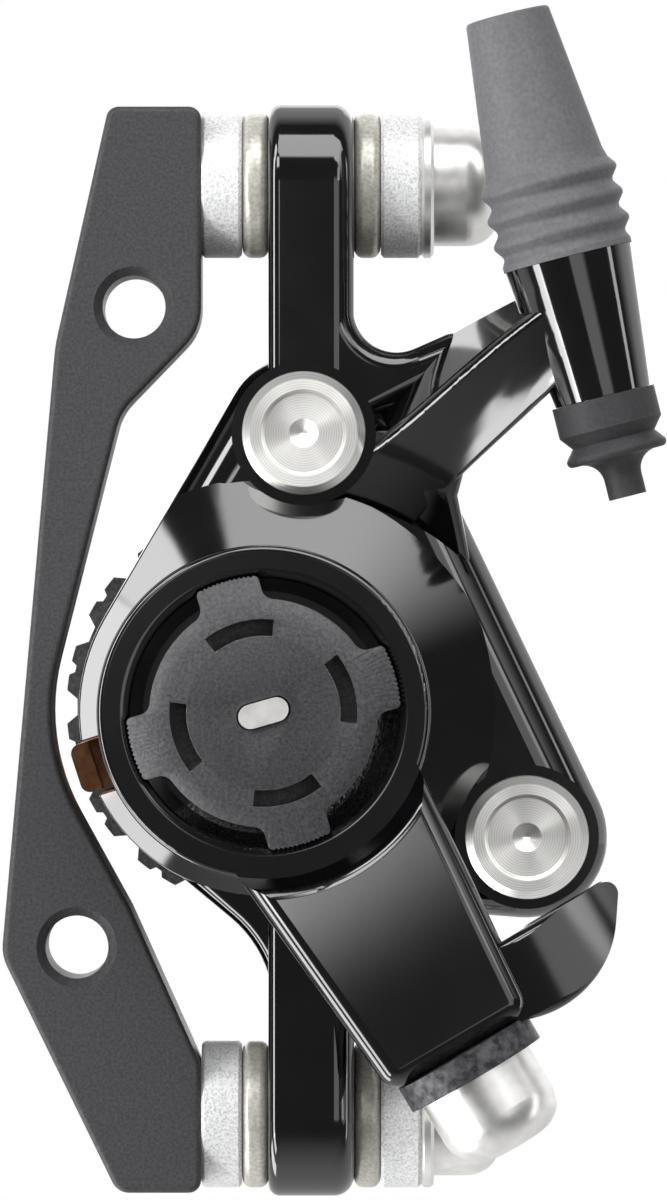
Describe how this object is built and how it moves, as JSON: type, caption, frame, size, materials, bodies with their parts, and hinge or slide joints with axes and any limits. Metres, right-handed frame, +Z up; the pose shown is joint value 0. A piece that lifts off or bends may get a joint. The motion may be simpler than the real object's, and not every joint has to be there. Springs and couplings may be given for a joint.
{
  "type": "mechanical disc brake caliper",
  "caption": "Cable-pulled disc brake caliper on a frame bracket, with a torque arm, dished alignment washers, pad adjuster knobs and a rubber-booted cable stop.",
  "frame": {"origin": "midway between the two frame bolt holes, where their straight walls begin, 0.7 mm behind the bracket's outboard face", "axes": "+X away from the wheel hub, from the bracket to the caliper; +Z up along the bracket; -Y outboard, along the frame bolts and towards the torque arm"},
  "size_m": [0.0524, 0.0508, 0.094],
  "materials": {
    "anodised_bracket": "matte black anodised",
    "gloss_casting": "cast aluminium, gloss black paint",
    "polished_bolts": "bright turned steel",
    "dished_washers": "bead-blasted silver",
    "domed_washers": "dull grey",
    "grey_rubber": "matte",
    "dark_steel": "dark, rough",
    "plain_steel": "ground",
    "black_plastic": "fine grain",
    "coppered_backing": "copper plated",
    "friction_lining": "rough pressed compound"
  },
  "bodies": {
    "caliper": {"mounting_bracket": "anodised_bracket", "upper_mounting_bolt": "polished_bolts", "upper_inner_concave_washer": "dished_washers", "upper_inner_convex_washer": "domed_washers", "upper_outer_concave_washer": "dished_washers", "upper_outer_convex_washer": "domed_washers", "upper_flat_washer": "polished_bolts", "lower_mounting_bolt": "polished_bolts", "lower_inner_concave_washer": "dished_washers", "lower_inner_convex_washer": "domed_washers", "lower_outer_concave_washer": "dished_washers", "lower_outer_convex_washer": "domed_washers", "lower_flat_washer": "polished_bolts", "outboard_housing": "gloss_casting", "inboard_housing": "gloss_casting", "upper_body_bolt": "polished_bolts", "lower_body_bolt": "polished_bolts", "cable_boot": "grey_rubber", "cable_seal": "grey_rubber", "thrust_washer": "plain_steel", "return_spring": "plain_steel", "pad_spreader_spring": "plain_steel", "inboard_detent_spring": "plain_steel"},
    "torque_arm": {"torque_arm": "gloss_casting", "drive_cam": "dark_steel", "cable_anchor_plate": "dark_steel", "cable_anchor_bolt": "polished_bolts"},
    "ball_set": {"steel_balls": "plain_steel", "ball_cage": "black_plastic"},
    "pressure_plate": {"pressure_plate": "dark_steel"},
    "outboard_knob": {"outboard_knob": "black_plastic", "adjuster_spindle": "plain_steel"},
    "outboard_pad": {"pressure_foot": "plain_steel", "outboard_pad_plate": "coppered_backing", "outboard_pad_lining": "friction_lining"},
    "foot_screw": {"foot_screw": "plain_steel"},
    "inboard_knob": {"inboard_knob": "black_plastic", "inboard_adjuster_screw": "plain_steel"},
    "inboard_pad": {"inboard_foot": "plain_steel", "inboard_pad_plate": "coppered_backing", "inboard_pad_lining": "friction_lining"}
  },
  "joints": [
    {"name": "arm_turn", "type": "hinge", "parent": "caliper", "child": "torque_arm", "pos_m": [0.01265, 0, -0.00665], "axis": [0, -1, 0], "range_deg": [0, 32], "stiffness_Nm_per_rad": 0.4, "springref_deg": -28.65},
    {"name": "ball_roll", "type": "hinge", "parent": "caliper", "child": "ball_set", "pos_m": [0.01265, 0, -0.00665], "axis": [0, -1, 0], "range_deg": [0, 16.1]},
    {"name": "plate_press", "type": "slide", "parent": "caliper", "child": "pressure_plate", "axis": [0, 1, 0], "range_m": [0, 0.0011]},
    {"name": "outboard_adjust", "type": "hinge", "parent": "caliper", "child": "outboard_knob", "pos_m": [0.01265, 0, -0.00665], "axis": [0, -1, 0], "range_deg": [0, 360]},
    {"name": "outboard_pad_feed", "type": "slide", "parent": "pressure_plate", "child": "outboard_pad", "axis": [0, 1, 0], "range_m": [0, 0.0011], "deforming": ["pad_spreader_spring"]},
    {"name": "screw_turn", "type": "hinge", "parent": "outboard_pad", "child": "foot_screw", "pos_m": [0.01265, 0, -0.00665], "axis": [0, -1, 0], "range_deg": [0, 360.5]},
    {"name": "inboard_adjust", "type": "hinge", "parent": "caliper", "child": "inboard_knob", "pos_m": [0.01265, 0, -0.00665], "axis": [0, 1, 0], "range_deg": [0, 720]},
    {"name": "inboard_pad_feed", "type": "slide", "parent": "caliper", "child": "inboard_pad", "axis": [0, -1, 0], "range_m": [0, 0.0021], "deforming": ["pad_spreader_spring"]}
  ],
  "couplings": [
    {"joint": "ball_roll", "follows": "arm_turn", "ratio": 0.5},
    {"joint": "plate_press", "follows": "arm_turn", "m_per_rad": 0.00179},
    {"joint": "outboard_pad_feed", "follows": "outboard_adjust", "m_per_rad": 0.000159},
    {"joint": "screw_turn", "follows": "outboard_adjust", "ratio": 1},
    {"joint": "inboard_pad_feed", "follows": "inboard_adjust", "m_per_rad": 0.000159}
  ]
}
